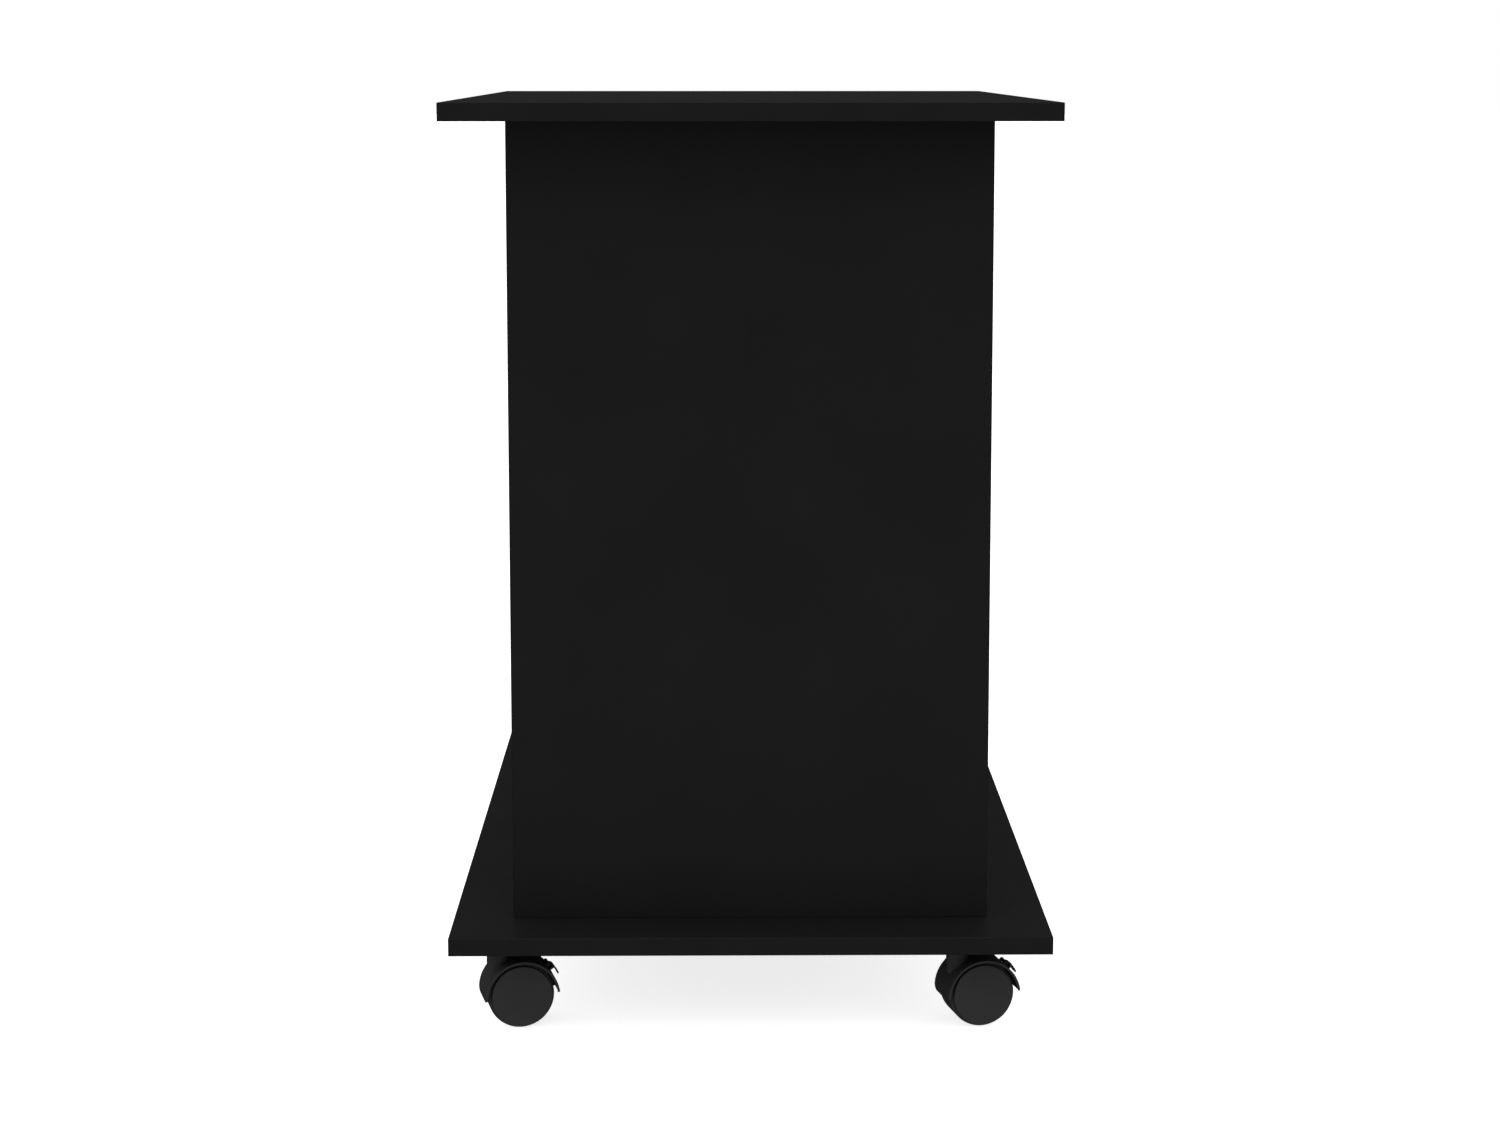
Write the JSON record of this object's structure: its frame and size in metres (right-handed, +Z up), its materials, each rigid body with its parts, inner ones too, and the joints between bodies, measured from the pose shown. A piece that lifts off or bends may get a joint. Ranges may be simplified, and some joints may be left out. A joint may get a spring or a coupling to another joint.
{
  "type": "mobile printer stand",
  "caption": "Black melamine-faced office stand: a top and a base board joined by two end panels, with an open shelf and a rear rail, on four braked twin-wheel castors.",
  "frame": {"origin": "on the floor, under the middle of the stand's outline", "axes": "+X along the stand's width towards its right-hand end, +Y to the rear, +Z up"},
  "size_m": [0.8, 0.5, 0.775],
  "materials": {
    "black_melamine": "matt black melamine facing with black edge band on 15 mm engineered wood board",
    "black_nylon": "moulded black nylon, fine satin texture",
    "die_cast_zinc": "bare die-cast zinc alloy",
    "zinc_plated_steel": "bright zinc-plated steel"
  },
  "bodies": {
    "carcass": {"top_board": "black_melamine", "base_board": "black_melamine", "middle_shelf": "black_melamine", "rear_rail": "black_melamine", "left_end_panel": "black_melamine", "right_end_panel": "black_melamine", "top_cam_left_front": "die_cast_zinc", "top_cam_left_rear": "die_cast_zinc", "top_cam_right_front": "die_cast_zinc", "top_cam_right_rear": "die_cast_zinc", "shelf_cam_left_front": "die_cast_zinc", "shelf_cam_left_rear": "die_cast_zinc", "shelf_cam_right_front": "die_cast_zinc", "shelf_cam_right_rear": "die_cast_zinc", "rail_cam_left": "die_cast_zinc", "rail_cam_right": "die_cast_zinc", "base_screw_left_front": "zinc_plated_steel", "base_screw_left_rear": "zinc_plated_steel", "base_screw_right_front": "zinc_plated_steel", "base_screw_right_rear": "zinc_plated_steel", "front_left_castor_plate": "zinc_plated_steel", "front_left_castor_screw_1": "zinc_plated_steel", "front_left_castor_screw_2": "zinc_plated_steel", "front_left_castor_screw_3": "zinc_plated_steel", "front_left_castor_screw_4": "zinc_plated_steel", "front_right_castor_plate": "zinc_plated_steel", "front_right_castor_screw_1": "zinc_plated_steel", "front_right_castor_screw_2": "zinc_plated_steel", "front_right_castor_screw_3": "zinc_plated_steel", "front_right_castor_screw_4": "zinc_plated_steel", "rear_left_castor_plate": "zinc_plated_steel", "rear_left_castor_screw_1": "zinc_plated_steel", "rear_left_castor_screw_2": "zinc_plated_steel", "rear_left_castor_screw_3": "zinc_plated_steel", "rear_left_castor_screw_4": "zinc_plated_steel", "rear_right_castor_plate": "zinc_plated_steel", "rear_right_castor_screw_1": "zinc_plated_steel", "rear_right_castor_screw_2": "zinc_plated_steel", "rear_right_castor_screw_3": "zinc_plated_steel", "rear_right_castor_screw_4": "zinc_plated_steel"},
    "front_left_castor_swivel": {"front_left_castor_housing": "black_nylon", "front_left_castor_axle": "zinc_plated_steel"},
    "front_left_castor_lever": {"front_left_castor_brake_lever": "black_nylon"},
    "front_left_castor_left_wheel": {"front_left_castor_left_wheel": "black_nylon"},
    "front_left_castor_right_wheel": {"front_left_castor_right_wheel": "black_nylon"},
    "front_right_castor_swivel": {"front_right_castor_housing": "black_nylon", "front_right_castor_axle": "zinc_plated_steel"},
    "front_right_castor_lever": {"front_right_castor_brake_lever": "black_nylon"},
    "front_right_castor_left_wheel": {"front_right_castor_left_wheel": "black_nylon"},
    "front_right_castor_right_wheel": {"front_right_castor_right_wheel": "black_nylon"},
    "rear_left_castor_swivel": {"rear_left_castor_housing": "black_nylon", "rear_left_castor_axle": "zinc_plated_steel"},
    "rear_left_castor_lever": {"rear_left_castor_brake_lever": "black_nylon"},
    "rear_left_castor_left_wheel": {"rear_left_castor_left_wheel": "black_nylon"},
    "rear_left_castor_right_wheel": {"rear_left_castor_right_wheel": "black_nylon"},
    "rear_right_castor_swivel": {"rear_right_castor_housing": "black_nylon", "rear_right_castor_axle": "zinc_plated_steel"},
    "rear_right_castor_lever": {"rear_right_castor_brake_lever": "black_nylon"},
    "rear_right_castor_left_wheel": {"rear_right_castor_left_wheel": "black_nylon"},
    "rear_right_castor_right_wheel": {"rear_right_castor_right_wheel": "black_nylon"}
  },
  "joints": [
    {"name": "front_left_castor_swivel", "type": "hinge", "parent": "carcass", "child": "front_left_castor_swivel", "pos_m": [-0.345, -0.213, 0.0722], "axis": [0, 0, 1], "continuous": true},
    {"name": "front_left_castor_brake", "type": "hinge", "parent": "front_left_castor_swivel", "child": "front_left_castor_lever", "pos_m": [-0.35413, -0.17251, 0.0499], "axis": [-0.9755, -0.2198, 0], "range_deg": [0, 12]},
    {"name": "front_left_castor_left_wheel_spin", "type": "hinge", "parent": "front_left_castor_swivel", "child": "front_left_castor_left_wheel", "pos_m": [-0.34882, -0.19603, 0.028], "axis": [0.9755, 0.2198, 0], "continuous": true},
    {"name": "front_left_castor_right_wheel_spin", "type": "hinge", "parent": "front_left_castor_swivel", "child": "front_left_castor_right_wheel", "pos_m": [-0.34882, -0.19603, 0.028], "axis": [0.9755, 0.2198, 0], "continuous": true},
    {"name": "front_right_castor_swivel", "type": "hinge", "parent": "carcass", "child": "front_right_castor_swivel", "pos_m": [0.345, -0.213, 0.0722], "axis": [0, 0, 1], "continuous": true},
    {"name": "front_right_castor_brake", "type": "hinge", "parent": "front_right_castor_swivel", "child": "front_right_castor_lever", "pos_m": [0.33587, -0.17251, 0.0499], "axis": [-0.9755, -0.2198, 0], "range_deg": [0, 12]},
    {"name": "front_right_castor_left_wheel_spin", "type": "hinge", "parent": "front_right_castor_swivel", "child": "front_right_castor_left_wheel", "pos_m": [0.34118, -0.19603, 0.028], "axis": [0.9755, 0.2198, 0], "continuous": true},
    {"name": "front_right_castor_right_wheel_spin", "type": "hinge", "parent": "front_right_castor_swivel", "child": "front_right_castor_right_wheel", "pos_m": [0.34118, -0.19603, 0.028], "axis": [0.9755, 0.2198, 0], "continuous": true},
    {"name": "rear_left_castor_swivel", "type": "hinge", "parent": "carcass", "child": "rear_left_castor_swivel", "pos_m": [-0.345, 0.175, 0.0722], "axis": [0, 0, 1], "continuous": true},
    {"name": "rear_left_castor_brake", "type": "hinge", "parent": "rear_left_castor_swivel", "child": "rear_left_castor_lever", "pos_m": [-0.35413, 0.21549, 0.0499], "axis": [-0.9755, -0.2198, 0], "range_deg": [0, 12]},
    {"name": "rear_left_castor_left_wheel_spin", "type": "hinge", "parent": "rear_left_castor_swivel", "child": "rear_left_castor_left_wheel", "pos_m": [-0.34882, 0.19197, 0.028], "axis": [0.9755, 0.2198, 0], "continuous": true},
    {"name": "rear_left_castor_right_wheel_spin", "type": "hinge", "parent": "rear_left_castor_swivel", "child": "rear_left_castor_right_wheel", "pos_m": [-0.34882, 0.19197, 0.028], "axis": [0.9755, 0.2198, 0], "continuous": true},
    {"name": "rear_right_castor_swivel", "type": "hinge", "parent": "carcass", "child": "rear_right_castor_swivel", "pos_m": [0.345, 0.175, 0.0722], "axis": [0, 0, 1], "continuous": true},
    {"name": "rear_right_castor_brake", "type": "hinge", "parent": "rear_right_castor_swivel", "child": "rear_right_castor_lever", "pos_m": [0.33587, 0.21549, 0.0499], "axis": [-0.9755, -0.2198, 0], "range_deg": [0, 12]},
    {"name": "rear_right_castor_left_wheel_spin", "type": "hinge", "parent": "rear_right_castor_swivel", "child": "rear_right_castor_left_wheel", "pos_m": [0.34118, 0.19197, 0.028], "axis": [0.9755, 0.2198, 0], "continuous": true},
    {"name": "rear_right_castor_right_wheel_spin", "type": "hinge", "parent": "rear_right_castor_swivel", "child": "rear_right_castor_right_wheel", "pos_m": [0.34118, 0.19197, 0.028], "axis": [0.9755, 0.2198, 0], "continuous": true}
  ]
}
